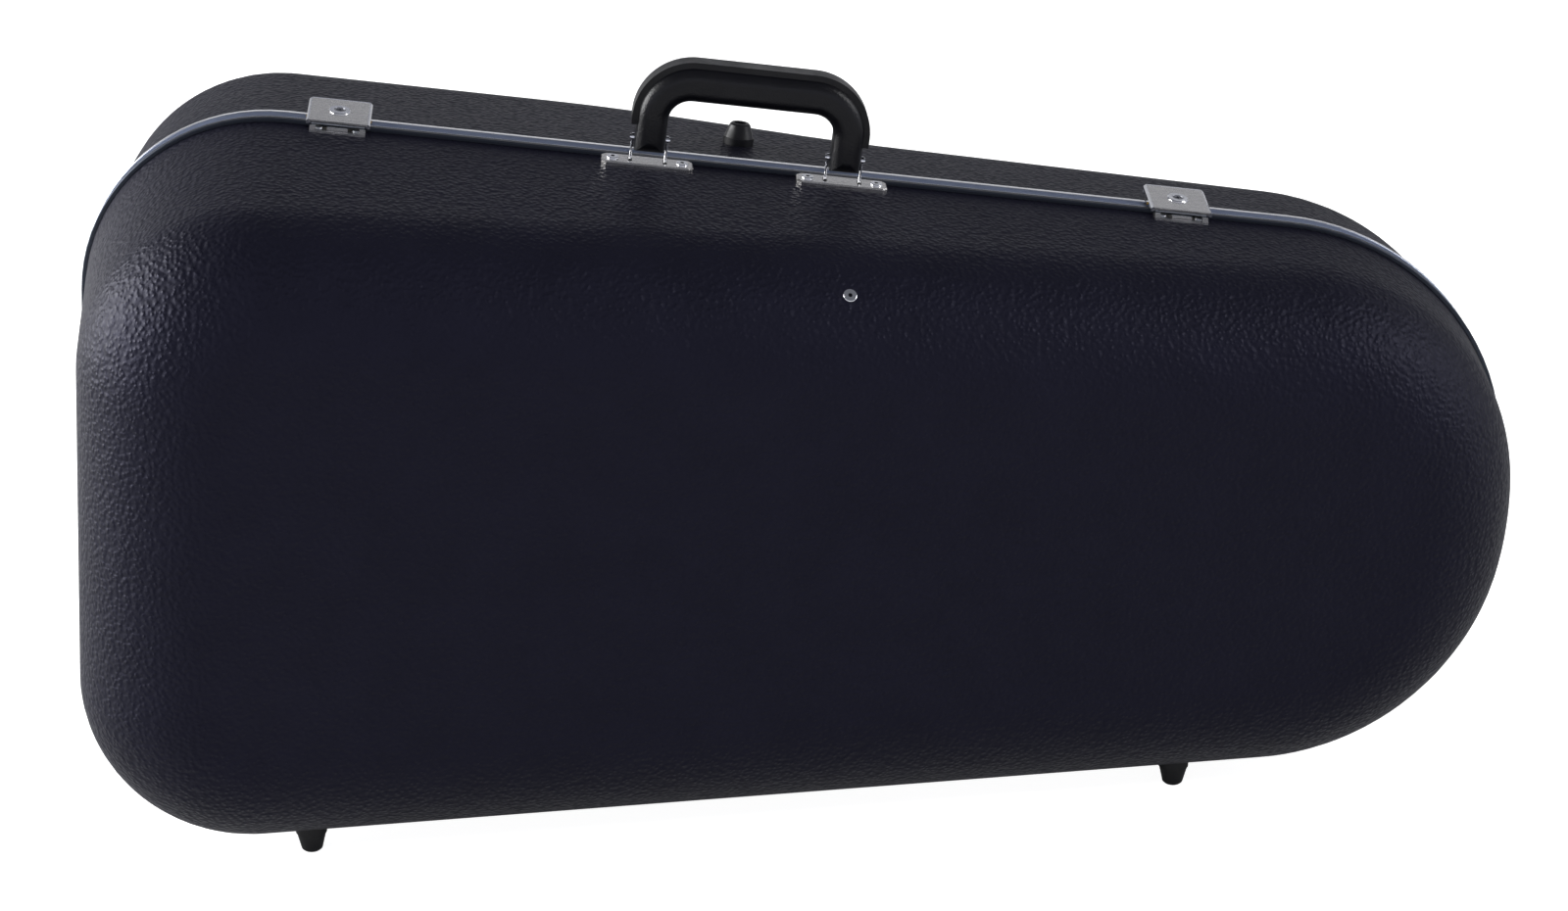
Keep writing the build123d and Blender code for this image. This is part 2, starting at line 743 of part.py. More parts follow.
def keeper(place):
    """Keeper on the front wall: a plate with a raised tongue and an ear at each end."""
    slope = tan(radians(draft))
    upper = [
        (keeper_front_y - 5, latch_sheet + (keeper_front_y - 5) * slope),
        (keeper_front_y - 5, 20),
        (keeper_back_y + 5, 20),
        (keeper_back_y + 5, latch_sheet + (keeper_back_y + 5) * slope),
    ]
    depth = keeper_back_y - keeper_front_y
    slab = Pos(0, (keeper_front_y + keeper_back_y) / 2, 0)
    plate = slab * Box(2 * keeper_half, depth, 6.0)
    plate -= extrude(side_profile(upper), amount=latch_width, both=True)
    tongue_points = [
        (keeper_tongue_y - 1.9, -2.0),
        (keeper_tongue_y - 1.9, keeper_out - 1.0),
        (keeper_tongue_y - 0.9, keeper_out),
        (keeper_tongue_y + 0.5, keeper_out),
        (keeper_tongue_y + 1.0, keeper_out - 0.6),
        (keeper_tongue_y + 1.0, -2.0),
    ]
    body = plate + extrude(side_profile(tongue_points), amount=keeper_tongue_half, both=True)
    ear_points = [
        (keeper_front_y, -2.0),
        (keeper_front_y, 0.4),
        (keeper_front_y + 3.0, keeper_out),
        (keeper_front_y + 4.2, keeper_out),
        (keeper_front_y + 4.2, -2.0),
    ]
    ear = extrude(side_profile(ear_points), amount=keeper_ear_width / 2, both=True)
    for side in (-1, 1):
        body += Pos(side * (keeper_half - keeper_ear_width / 2), 0, 0) * ear
    body = place * body - front_form
    for side in (-1, 1):
        body = drill(body, keeper_rivet_frame(place, side), small_rivet_radius)
    return body


def keeper_rivet_frame(place, side):
    """Frame on top of a keeper at one of its rivets, square to the front wall."""
    y = keeper_back_y - 2.8
    out = latch_sheet + y * tan(radians(draft))
    return place * Pos(side * keeper_rivet_x, y, out) * Rot(draft, 0, 0)


def small_rivet(place, depth):
    """Small solid rivet with a low head that enters along -Z of its frame."""
    radius = small_rivet_radius
    head = place * Pos(0, 0, 0.3) * Cylinder(radius * 1.7, 0.6)
    shank = place * Pos(0, 0, -depth / 2) * Cylinder(radius, depth)
    tail = place * Pos(0, 0, -depth - 0.4) * Cylinder(radius * 1.5, 0.8)
    return head + shank + tail


def hinge_leaf(place, toward):
    """Riveted leaf: over the rim, down its side and along the wall; toward +1 is front."""
    edge = 0.0 if toward > 0 else recess_width
    slope = tan(radians(draft))
    rim_end = rim_width + hinge_sheet + 0.1
    rim_top = rim_proud + hinge_sheet
    far_end = rim_width + hinge_leaf_reach
    middle = parting_y() if toward > 0 else recess_width - parting_y()
    section = [
        (-middle + hinge_knuckle_radius * 0.4, rim_proud + 0.02),
        (-middle + hinge_knuckle_radius * 0.4, rim_top),
        (rim_end, rim_top),
        (rim_end + 0.4, hinge_sheet - (rim_end + 0.4) * slope),
        (far_end, hinge_sheet - far_end * slope),
        (far_end, -far_end * slope - 1.5),
        (rim_width + 0.1, -1.5),
        (rim_width + 0.1, rim_proud + 0.02),
    ]
    leaf = extrude(side_profile([(toward * (y + 0) - (0 if toward > 0 else edge), out)
                                 for y, out in section]), amount=hinge_length / 2, both=True)
    barrel = Pos(0, -parting_y(), hinge_axis_out) * Rot(0, 90, 0) * Cylinder(
        hinge_knuckle_radius, hinge_length)
    leaf += barrel
    pitch = hinge_length / hinge_knuckles
    reach = hinge_knuckle_radius + hinge_knuckle_gap
    for index in range(hinge_knuckles):
        mine = (index % 2 == 0) == (toward > 0)
        if not mine:
            centre = -hinge_length / 2 + pitch * (index + 0.5)
            gap = Pos(centre, -parting_y(), hinge_axis_out)
            leaf -= gap * Box(pitch + hinge_knuckle_gap, 2 * reach, 2 * reach)
    leaf = drill(leaf, Pos(0, -parting_y(), hinge_axis_out) * Rot(0, 90, 0),
                 hinge_pin_radius + (pin_clearance if toward < 0 else 0), 2 * hinge_length)
    form = front_form if toward > 0 else lid_form
    leaf = place * leaf - form
    for side in (-1, 1):
        leaf = drill(leaf, hinge_rivet_frame(place, toward, side), rivet_shank_radius)
    return leaf


def hinge_rivet_frame(place, toward, side):
    """Frame on the outside of a hinge leaf at one of its rivets."""
    y = rim_width + 0.6 * hinge_leaf_reach
    out = hinge_sheet - y * tan(radians(draft))
    edge = 0.0 if toward > 0 else -recess_width
    return place * Pos(side * hinge_rivet_spacing / 2, edge + toward * y, out) * Rot(-toward * draft, 0, 0)


def hinge_pin(place):
    """Hinge pin, held in the front leaf's knuckles."""
    return place * Pos(0, -parting_y(), hinge_axis_out) * Rot(0, 90, 0) * Cylinder(
        hinge_pin_radius, hinge_length)


def foot_blank(total):
    """Rubber foot stood on its tip at the origin, longer than needed at its base."""
    cone_top = foot_base_radius - foot_flange_step
    points = [
        (0, 0),
        (foot_tip_radius - 1.0, 0),
        (foot_tip_radius, 1.0),
        (cone_top, total - foot_flange),
        (foot_base_radius, total - foot_flange),
        (foot_base_radius, total + 12),
        (0, total + 12),
    ]
    profile = Plane.XZ * make_face(Polyline(*points, close=True))
    blank = revolve(profile, Axis.Z)
    return blank - Cylinder(foot_screw_head, 2 * foot_screw_depth) - Cylinder(
        foot_screw_shank, 6 * total)


def foot_frame(side, u):
    """Frame at the middle of a foot's sole, with Z up as the case stands."""
    edge = 0.0 if side < 0 else recess_width
    stood = (standing * Pos(u, 0, -side_half(u))).position
    sole = Pos(stood.X, edge + side * foot_y(side, u), floor_z)
    return standing.inverse() * sole


def feet(side):
    """The two feet of one shell, each with its seat cut to the wall."""
    form = front_form if side < 0 else lid_form
    return [foot_frame(side, u) * foot_blank(foot_height) - form for u in (foot_bell_u, foot_bow_u)]


def foot_screws(side):
    """Screw and washer of each foot, set from below through the wall."""
    screws = []
    for u in (foot_bell_u, foot_bow_u):
        place = foot_frame(side, u)
        screws.append(screw_at(place, foot_height))
    return screws


def screw_at(place, total):
    """Pan screw in a foot's recess, up through the wall to a nut inside."""
    head = place * Pos(0, 0, foot_screw_depth - 0.9) * Cylinder(foot_screw_head - 0.6, 1.8)
    reach = total + wall + foot_screw_end - foot_screw_depth
    shank = place * Pos(0, 0, foot_screw_depth + reach / 2) * Cylinder(foot_screw_shank, reach)
    return head + shank


def rest_frame():
    """Frame at the tip of the handle rest on the lid's top wall, Z into the case."""
    return lid_wall(handle_u) * Pos(0, rest_y - recess_width, rest_height) * Rot(180, 0, 0)


def lining_form(side):
    """Plush-covered foam that follows the inside of a shell."""
    start = lining_start if side < 0 else recess_width + lining_start
    outside = shell_form(side, wall + lining_gap)
    inside = shell_form(side, wall + lining_gap + lining, overshoot)
    skin = outside - inside
    return skin - mouth(side, start)


def mouth(side, start):
    """Everything from far behind a plane near the parting line up to it."""
    centre = start * side if side < 0 else start
    return Pos(length / 2, centre - side * far / 2, 0) * Box(2 * length, far, 2 * height)


def cradle(u, thickness, rest):
    """Foam block across the front shell with a round saddle for the tubing."""
    room = shell_form(-1, wall + 2 * lining_gap + lining)
    block = Pos(u, -far / 2 - lining_start - cradle_drop, 0) * Box(thickness, far, 2 * height)
    block = block & room
    saddle = Pos(u, -lining_start - cradle_drop, 0) * Rot(0, 90, 0) * Cylinder(rest, 2 * thickness)
    block -= saddle
    return block


def lid_pad():
    """Foam pad on the lid's lining that holds the instrument down."""
    room = shell_form(1, wall + 2 * lining_gap + lining)
    pad = Pos(lid_pad_u, lid_pad_face_y + far / 2, 0) * Box(lid_pad_length, far, lid_pad_width)
    face = pad.faces().sort_by(Axis.Y)[0]
    return fillet(face.edges(), lid_pad_round) & room


def accessory_tray():
    """Compartment walls: one long wall and two ends, on the lining at the hinge side."""
    room = shell_form(-1, wall + 2 * lining_gap + lining)
    middle = (box_bell_u + box_bow_u) / 2
    place = Pos(middle, 0, -side_half(middle)) * Rot(0, -taper, 0)
    long_side = box_bow_u - box_bell_u
    outer = place * Pos(0, box_mouth_y - far / 2, box_height / 2 - height / 4)
    outer = outer * Box(long_side, far, box_height + height / 2)
    inner = place * Pos(0, box_mouth_y - far / 2, box_height / 2 - height / 4 - box_wall)
    inner = inner * Box(long_side - 2 * box_wall, 2 * far, box_height + height / 2)
    tray = (outer & room) - inner
    hinge = flap_frame()
    bore = hinge * Rot(0, 90, 0)
    tray = drill(tray, bore, flap_pin_radius, long_side + 4 * box_wall)
    return tray


def flap_frame():
    """Frame on the flap's hinge axis: X along it, Y to the lid, Z across the flap."""
    middle = (box_bell_u + box_bow_u) / 2
    place = Pos(middle, 0, -side_half(middle)) * Rot(0, -taper, 0)
    out = box_mouth_y - flap_barrel_radius + flap_proud
    return place * Pos(0, out, flap_pin_in)


def accessory_flap():
    """Hinged cover of the compartment, with a hinge barrel and a bore for its pin."""
    place = flap_frame()
    wide = box_bow_u - box_bell_u - 2 * box_wall - 2 * flap_gap
    reach = box_height - box_wall - flap_gap - flap_pin_in
    barrel = place * Rot(0, 90, 0) * Cylinder(flap_barrel_radius, wide)
    panel_y = flap_barrel_radius - flap_thickness / 2
    panel = place * Pos(0, panel_y, reach / 2) * Box(wide, flap_thickness, reach)
    return drill(barrel + panel, place * Rot(0, 90, 0), flap_pin_radius + pin_clearance, 2 * wide)


def flap_pin():
    """Pin of the flap, held in the compartment's end walls."""
    wide = box_bow_u - box_bell_u - 0.4 * box_wall
    return flap_frame() * Rot(0, 90, 0) * Cylinder(flap_pin_radius, wide)


def flap_tab():
    """Leather pull tab on the free edge of the flap."""
    reach = box_height - box_wall - flap_gap - flap_pin_in
    place = flap_frame() * Pos(0, flap_barrel_radius + tab_thickness / 2, reach - 4.0)
    tab = place * Box(tab_width, tab_thickness, tab_length)
    axis = Axis(place.position, place.y_axis.direction)
    return fillet(tab.edges().filter_by(axis), 4.0)


def mouthpiece_block():
    """Foam block in the compartment with a hole for a mouthpiece."""
    room = shell_form(-1, wall + 3 * lining_gap + lining)
    middle = (box_bell_u + box_bow_u) / 2
    place = Pos(middle, 0, -side_half(middle)) * Rot(0, -taper, 0)
    along = (box_bow_u - box_bell_u) / 2 - box_wall - 2 * lining_gap - mouthpiece_block_length / 2
    mouth_y = box_mouth_y - flap_thickness - 8.0
    tall = box_height - box_wall - 2 * lining_gap
    block = place * Pos(along, mouth_y - far / 2, tall / 2 - height / 4)
    block = block * Box(mouthpiece_block_length, far, tall + height / 2)
    block = block & room
    hole_v = (tall + wall + lining) / 2
    hole = place * Pos(along, mouth_y, hole_v) * Rot(90, 0, 0)
    return block - hole * Cylinder(mouthpiece_radius, 2 * mouthpiece_block_depth)


def strap_rivet_frame():
    """Frame on the front shoulder where the strap rivet sits, Z out of the shell."""
    ray = Axis((strap_rivet_u, -far, strap_rivet_v), (0, 1, 0))
    hits = sorted(front_form.find_intersection_points(ray), key=lambda hit: hit[0].Y)
    point, normal = hits[0]
    plane = Plane(origin=point, x_dir=(1, 0, 0), z_dir=normal if normal.Y < 0 else -normal)
    return Location(plane)


def strap():
    """Webbing strap along the lining, from the rivet down over the flat of the floor."""
    near = shell_form(-1, wall + 2 * lining_gap + lining)
    over = shell_form(-1, wall + 2 * lining_gap + lining + strap_thickness, overshoot)
    layer = near - over
    tall = strap_rivet_v + 10.0 - strap_free_v
    window = Pos(strap_rivet_u, -far / 2 - lining_start - 30.0, strap_free_v + tall / 2)
    return layer & (window * Box(strap_width, far, tall))


def build():
    """All pieces by node name, in the case frame."""
    nodes = {}
    latches = {"bell": top_side(latch_bell_u), "bow": top_side(latch_bow_u)}
    hinges = {"bell": hinge_side(hinge_bell_u), "bow": hinge_side(hinge_bow_u)}
    plates = {"bell": plate_centre(-1), "bow": plate_centre(1)}
    strap_place = strap_rivet_frame()

    front_shell = front_form - front_room
    lid_shell = lid_form - lid_room
    front_rail = front_valance()
    lid_rail = lid_valance()

    plate_rivets = []
    for end, place in plates.items():
        nodes[end + "_handle_plate"] = handle_plate(place)
        nodes[end + "_stirrup"] = stirrup(place)
        for side in (-1, 1):
            seat = place * Pos(side * plate_rivet_spacing / 2, 0, 0)
            front_shell = drill(front_shell, seat, rivet_shank_radius, 16.0)
            front_rail = drill(front_rail, seat, rivet_shank_radius * 1.5 + 0.3, 30.0)
            plate_rivets.append(hollow_rivet(seat * Pos(0, 0, plate_thickness), rivet_head_radius,
                                             plate_thickness + wall + 0.05))
    nodes["handle_plate_rivets"] = plate_rivets

    base_rivets = []
    keeper_rivets = []
    for end, place in latches.items():
        nodes[end + "_latch_base"] = latch_base(place)
        nodes[end + "_latch_pivot"] = latch_pin(place, lever_pivot_y, lever_pivot_out,
                                                latch_width / 2 - 0.2)
        nodes[end + "_latch_lever"] = latch_lever(place)
        nodes[end + "_latch_cover"] = latch_plate(place)
        nodes[end + "_lock_ring"] = lock_ring(place)
        nodes[end + "_lock_barrel"] = lock_core(place)
        nodes[end + "_latch_claw"] = latch_claw(place)
        nodes[end + "_claw_pin"] = latch_pin(place, claw_pivot_y, claw_pivot_out,
                                             latch_width / 2 + 0.5)
        nodes[end + "_keeper"] = keeper(place)
        for side in (-1, 1):
            seat = latch_rivet_frame(place, side)
            lid_shell = drill(lid_shell, seat, small_rivet_radius, 20.0)
            base_rivets.append(small_rivet(seat, latch_sheet + wall + 0.1))
            seat = keeper_rivet_frame(place, side)
            front_shell = drill(front_shell, seat, small_rivet_radius, 20.0)
            front_rail = drill(front_rail, seat, small_rivet_radius * 1.5 + 0.2, 20.0)
            keeper_rivets.append(small_rivet(seat, latch_sheet + wall + 0.1))
    nodes["latch_base_rivets"] = base_rivets
    nodes["keeper_rivets"] = keeper_rivets

    front_hinge_rivets = []
    lid_hinge_rivets = []
    for end, place in hinges.items():
        nodes[end + "_hinge_front_leaf"] = hinge_leaf(place, 1)
        nodes[end + "_hinge_lid_leaf"] = hinge_leaf(place, -1)
        nodes[end + "_hinge_pin"] = hinge_pin(place)
        for side in (-1, 1):
            seat = hinge_rivet_frame(place, 1, side)
            front_shell = drill(front_shell, seat, rivet_shank_radius, 20.0)
            front_hinge_rivets.append(hollow_rivet(seat, rivet_head_radius * 0.9, hinge_sheet + wall + 0.1))
            seat = hinge_rivet_frame(place, -1, side)
            lid_shell = drill(lid_shell, seat, rivet_shank_radius, 20.0)
            lid_hinge_rivets.append(hollow_rivet(seat, rivet_head_radius * 0.9, hinge_sheet + wall + 0.1))
    nodes["front_hinge_rivets"] = front_hinge_rivets
    nodes["lid_hinge_rivets"] = lid_hinge_rivets

    nodes["handle"] = handle()
    nodes["handle_pins"] = handle_pins()

    nodes["front_feet"] = feet(-1)
    nodes["lid_feet"] = feet(1)
    nodes["front_foot_screws"] = foot_screws(-1)
    nodes["lid_foot_screws"] = foot_screws(1)
    for u in (foot_bell_u, foot_bow_u):
        front_shell = drill(front_shell, foot_frame(-1, u), foot_screw_shank, 4 * foot_height)
        lid_shell = drill(lid_shell, foot_frame(1, u), foot_screw_shank, 4 * foot_height)
    rest = rest_frame()
    nodes["handle_rest"] = rest * foot_blank(rest_height) - lid_form
    nodes["handle_rest_screw"] = screw_at(rest, rest_height)
    lid_shell = drill(lid_shell, rest, foot_screw_shank, 4 * rest_height)

    front_liner = lining_form(-1)
    lid_liner = lining_form(1)
    front_shell = drill(front_shell, strap_place, rivet_shank_radius, 40.0)
    through = wall + 2 * lining_gap + lining + strap_thickness
    front_liner = drill(front_liner, strap_place, rivet_shank_radius + lining_gap, 60.0)
    nodes["strap_rivet"] = hollow_rivet(strap_place, strap_rivet_radius, through + strap_washer_thickness)
    washer_seat = strap_place * Pos(0, 0, -through - strap_washer_thickness / 2)
    nodes["strap_washer"] = drill(washer_seat * Cylinder(strap_washer_radius, strap_washer_thickness),
                                  strap_place, rivet_shank_radius)
    webbing = drill(strap(), strap_place, rivet_shank_radius + lining_gap, 60.0)
    nodes["instrument_strap"] = webbing - washer_seat * Cylinder(strap_washer_radius + lining_gap,
                                                                 strap_washer_thickness + 2 * lining_gap)

    pocket = foot_screw_shank + 4.0
    pocket_depth = foot_height + wall + foot_screw_end + lining_gap
    for u in (foot_bell_u, foot_bow_u):
        front_liner = drill(front_liner, foot_frame(-1, u), pocket, 2 * pocket_depth)
        lid_liner = drill(lid_liner, foot_frame(1, u), pocket, 2 * pocket_depth)
    pocket_depth = rest_height + wall + foot_screw_end + lining_gap
    lid_liner = drill(lid_liner, rest, pocket, 2 * pocket_depth)
    for place in hinges.values():
        for side in (-1, 1):
            front_liner = drill(front_liner, hinge_rivet_frame(place, 1, side), pocket, 12.0)
            lid_liner = drill(lid_liner, hinge_rivet_frame(place, -1, side), pocket, 12.0)
    for place in plates.values():
        for side in (-1, 1):
            front_liner = drill(front_liner, place * Pos(side * plate_rivet_spacing / 2, 0, 0), pocket, 12.0)
    for place in latches.values():
        for side in (-1, 1):
            front_liner = drill(front_liner, keeper_rivet_frame(place, side), pocket, 12.0)
            lid_liner = drill(lid_liner, latch_rivet_frame(place, side), pocket, 12.0)
    nodes["front_shell"] = front_shell
    nodes["lid_shell"] = lid_shell
    nodes["front_valance"] = front_rail
    nodes["lid_valance"] = lid_rail
    nodes["front_lining"] = front_liner
    nodes["lid_lining"] = lid_liner
    nodes["bell_cradle"] = cradle(bell_cradle_u, bell_cradle_thickness, bell_cradle_rest)
    nodes["bow_cradle"] = cradle(bow_cradle_u, bow_cradle_thickness, bow_cradle_rest)
    nodes["lid_pad"] = lid_pad()
    nodes["accessory_tray"] = accessory_tray()
    nodes["accessory_flap"] = accessory_flap()
    nodes["flap_pin"] = flap_pin()
    nodes["flap_tab"] = flap_tab()
    nodes["mouthpiece_block"] = mouthpiece_block()
    return nodes


def as_solids(piece):
    """The separate solids of a node, as one shape."""
    pieces = piece if isinstance(piece, (list, tuple)) else [piece]
    solids = [solid for part in pieces for solid in part.solids()]
    return Compound(solids) if len(solids) > 1 else solids[0]


nodes = {name: as_solids(piece) for name, piece in build().items()}
boxes = [(standing * piece).bounding_box() for piece in nodes.values()]
middle_x = (min(box.min.X for box in boxes) + max(box.max.X for box in boxes)) / 2
middle_y = (min(box.min.Y for box in boxes) + max(box.max.Y for box in boxes)) / 2
placing = Pos(-middle_x, -middle_y, -floor_z) * standing

os.makedirs("parts", exist_ok=True)
for name, piece in nodes.items():
    export_step(placing * piece, "parts/" + name + ".step")
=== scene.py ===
import math

import bpy
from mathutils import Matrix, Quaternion, Vector, noise


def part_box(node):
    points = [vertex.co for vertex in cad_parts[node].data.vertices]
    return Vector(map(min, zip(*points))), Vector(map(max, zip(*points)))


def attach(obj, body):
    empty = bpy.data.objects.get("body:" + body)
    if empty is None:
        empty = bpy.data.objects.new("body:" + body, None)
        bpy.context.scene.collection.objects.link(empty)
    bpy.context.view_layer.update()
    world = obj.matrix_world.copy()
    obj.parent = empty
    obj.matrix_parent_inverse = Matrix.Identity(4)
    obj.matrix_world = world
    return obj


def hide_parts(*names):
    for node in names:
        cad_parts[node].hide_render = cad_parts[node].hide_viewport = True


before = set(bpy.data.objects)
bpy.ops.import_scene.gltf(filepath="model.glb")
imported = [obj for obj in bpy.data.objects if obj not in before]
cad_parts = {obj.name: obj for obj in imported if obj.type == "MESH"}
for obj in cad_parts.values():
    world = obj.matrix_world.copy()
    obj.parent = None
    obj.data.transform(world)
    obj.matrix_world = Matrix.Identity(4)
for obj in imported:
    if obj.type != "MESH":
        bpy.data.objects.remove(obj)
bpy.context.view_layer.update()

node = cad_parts

# Camera. The case was photographed from just beside its middle, looking down on it, with a
# long lens, so its sides hardly converge.
camera_data = bpy.data.cameras.new("studio_camera")
camera_data.sensor_width = 36.0
camera_data.lens = 81.7
camera = bpy.data.objects.new("studio_camera", camera_data)
bpy.context.scene.collection.objects.link(camera)
camera.location = (-0.1268, -1.8435, 0.9684)
camera_aim = Vector((-0.0074, 0.0089, 0.1801))
camera_turn = (camera_aim - camera.location).to_track_quat("-Z", "Y")
camera_roll = Quaternion((0, 0, 1), math.radians(0.51))
camera.rotation_mode = "QUATERNION"
camera.rotation_quaternion = camera_turn @ camera_roll
bpy.context.scene.camera = camera
bpy.context.scene.view_settings.view_transform = "Standard"


# Floor and backdrop. White paper sweeps up behind the case and out of sight at its sides.
# It shows as plain white to the lens and in the metal, and still takes the case's shadow.
def linear(code):
    """An sRGB hex colour as linear red, green, blue and alpha."""
    parts = [int(code[i:i + 2], 16) / 255 for i in (1, 3, 5)]
    return [c / 12.92 if c <= 0.04045 else ((c + 0.055) / 1.055) ** 2.4 for c in parts] + [1.0]


def add(tree, kind, sockets=None, **settings):
    """Adds one node to a tree, with its settings and what its sockets hold or link to."""
    made = tree.nodes.new(kind)
    for name, value in settings.items():
        setattr(made, name, value)
    for name, value in (sockets or {}).items():
        if isinstance(value, bpy.types.NodeSocket):
            tree.links.new(value, made.inputs[name])
        else:
            made.inputs[name].default_value = value
    return made


def mesh_piece(name, points, faces):
    """A new object from points in metres in the row frame, and faces by index."""
    mesh = bpy.data.meshes.new(name)
    mesh.from_pydata([tuple(p) for p in points], [], faces)
    mesh.polygons.foreach_set("use_smooth", [True] * len(mesh.polygons))
    mesh.update()
    piece = bpy.data.objects.new(name, mesh)
    bpy.context.scene.collection.objects.link(piece)
    return piece


paper = bpy.data.materials.new("white_paper")
paper.use_nodes = True
tree = paper.node_tree
tree.nodes.clear()
rays = add(tree, "ShaderNodeLightPath")
seen = add(tree, "ShaderNodeMath", {0: rays.outputs["Is Camera Ray"], 1: rays.outputs["Is Glossy Ray"]},
           operation="MAXIMUM")
seen = add(tree, "ShaderNodeMath", {0: seen.outputs[0], 1: rays.outputs["Is Transmission Ray"]},
           operation="MAXIMUM")
lit = add(tree, "ShaderNodeBsdfDiffuse", {"Color": linear("#b6b6b6")})
bright = add(tree, "ShaderNodeMapRange", {"Value": rays.outputs["Is Camera Ray"],
                                          "To Min": 0.1, "To Max": 0.95})
glow = add(tree, "ShaderNodeEmission", {"Color": linear("#ffffff"), "Strength": bright.outputs["Result"]})
both = add(tree, "ShaderNodeAddShader", {0: lit.outputs[0], 1: glow.outputs[0]})
sheet = add(tree, "ShaderNodeMixShader", {0: seen.outputs[0], 1: lit.outputs[0], 2: both.outputs[0]})
add(tree, "ShaderNodeOutputMaterial", {"Surface": sheet.outputs[0]})

sweep_points = []
sweep_rows = 24
sweep_reach = 6.0
bend_start = 2.6
bend_radius = 1.2
sweep_top = 2.2
for side in (-sweep_reach, sweep_reach):
    sweep_points.append((side, -sweep_reach, 0.0))
    for i in range(sweep_rows + 1):
        angle = math.pi / 2 * i / sweep_rows
        sweep_points.append((side, bend_start + bend_radius * math.sin(angle),
                             bend_radius - bend_radius * math.cos(angle)))
    sweep_points.append((side, bend_start + bend_radius, sweep_top))
row = sweep_rows + 3
sweep_faces = [(i, i + 1, row + i + 1, row + i) for i in range(row - 1)]
sweep = mesh_piece("paper_sweep", sweep_points, sweep_faces)
sweep.data.materials.append(paper)

# Studio light. A large softbox stands beyond the bell end and rakes along the case, a soft one
# hangs in front and a weak one stands beyond the bow end. The room is bright low down and dim
# above, which leaves the dark line along the shoulders.
world = bpy.data.worlds.new("studio_room")
bpy.context.scene.world = world
world.use_nodes = True
tree = world.node_tree
tree.nodes.clear()
rays = add(tree, "ShaderNodeLightPath")
way = add(tree, "ShaderNodeTexCoord")
height = add(tree, "ShaderNodeSeparateXYZ", {0: way.outputs["Generated"]})
fade = add(tree, "ShaderNodeMapRange", {"Value": height.outputs["Z"], "From Min": 0.12, "From Max": 0.62,
                                        "To Min": 1.0, "To Max": 0.18}, interpolation_type="SMOOTHSTEP")
room = add(tree, "ShaderNodeBackground", {"Color": linear("#eef1ff"), "Strength": fade.outputs["Result"]})
white = add(tree, "ShaderNodeBackground", {"Color": linear("#ffffff"), "Strength": 1.0})
shown = add(tree, "ShaderNodeMixShader", {0: rays.outputs["Is Camera Ray"], 1: room.outputs[0],
                                          2: white.outputs[0]})
add(tree, "ShaderNodeOutputWorld", {"Surface": shown.outputs[0]})


def softbox(name, place, aim, wide, tall, watts):
    """An area lamp that faces a point."""
    data = bpy.data.lights.new(name, "AREA")
    data.shape = "RECTANGLE"
    data.size = wide
    data.size_y = tall
    data.energy = watts
    lamp = bpy.data.objects.new(name, data)
    lamp.location = place
    lamp.rotation_mode = "QUATERNION"
    lamp.rotation_quaternion = (Vector(aim) - Vector(place)).to_track_quat("-Z", "Y")
    bpy.context.scene.collection.objects.link(lamp)
    return lamp


case_middle = (0, 0, 0.2)
softbox("bell_end_softbox", (-2.6, 0.2, 0.9), case_middle, 2.6, 1.5, 150)
fill = softbox("front_softbox", (0.3, -1.9, 2.3), case_middle, 1.8, 0.9, 60)
fill.visible_glossy = False
softbox("bow_end_softbox", (2.4, -0.4, 1.6), case_middle, 1.0, 1.4, 30)


# Shells. Black ABS sheet, vacuum formed over a mould with a leather grain. The pebbles are
# 2 to 3 mm across, shallow and satin, and the sheet has a faint navy cast.
def finish_node(names, material):
    """Gives CAD nodes one material."""
    for name in names:
        node[name].data.materials.clear()
        node[name].data.materials.append(material)


def new_material(name, colour, rough, metal=0.0):
    """A principled material with its flat values, its node tree and its shader."""
    material = bpy.data.materials.new(name)
    material.use_nodes = True
    tree = material.node_tree
    shader = tree.nodes["Principled BSDF"]
    shader.inputs["Base Color"].default_value = linear(colour)
    shader.inputs["Roughness"].default_value = rough
    shader.inputs["Metallic"].default_value = metal
    return material, tree, shader


abs_shell, tree, shader = new_material("grained_abs", "#0b0b11", 0.46)
place = add(tree, "ShaderNodeTexCoord")
wander = add(tree, "ShaderNodeTexNoise", {"Vector": place.outputs["Object"], "Scale": 260.0, "Detail": 2.0})
shift = add(tree, "ShaderNodeMix", {"Factor": 0.0016, "A": place.outputs["Object"],
                                    "B": wander.outputs["Color"]}, data_type="VECTOR")
pebble = add(tree, "ShaderNodeTexVoronoi", {"Vector": shift.outputs["Result"], "Scale": 400.0},
             feature="SMOOTH_F1")
crease = add(tree, "ShaderNodeTexNoise", {"Vector": place.outputs["Object"], "Scale": 1100.0,
                                          "Detail": 3.0})
dents = add(tree, "ShaderNodeTexNoise", {"Vector": place.outputs["Object"], "Scale": 11.0, "Detail": 1.0})
fine = add(tree, "ShaderNodeBump", {"Height": crease.outputs["Fac"], "Strength": 0.3, "Distance": 0.0002})
grain = add(tree, "ShaderNodeBump", {"Height": pebble.outputs["Distance"], "Normal": fine.outputs[0],
                                     "Strength": 1.0, "Distance": 0.0009}, invert=True)
mould = add(tree, "ShaderNodeBump", {"Height": dents.outputs["Fac"], "Normal": grain.outputs[0],
                                     "Strength": 0.12, "Distance": 0.003})
rough = add(tree, "ShaderNodeMapRange", {"Value": pebble.outputs["Distance"], "From Min": 0.0,
                                         "From Max": 0.7, "To Min": 0.34, "To Max": 0.56})
scuff = add(tree, "ShaderNodeTexNoise", {"Vector": place.outputs["Object"], "Scale": 35.0, "Detail": 4.0})
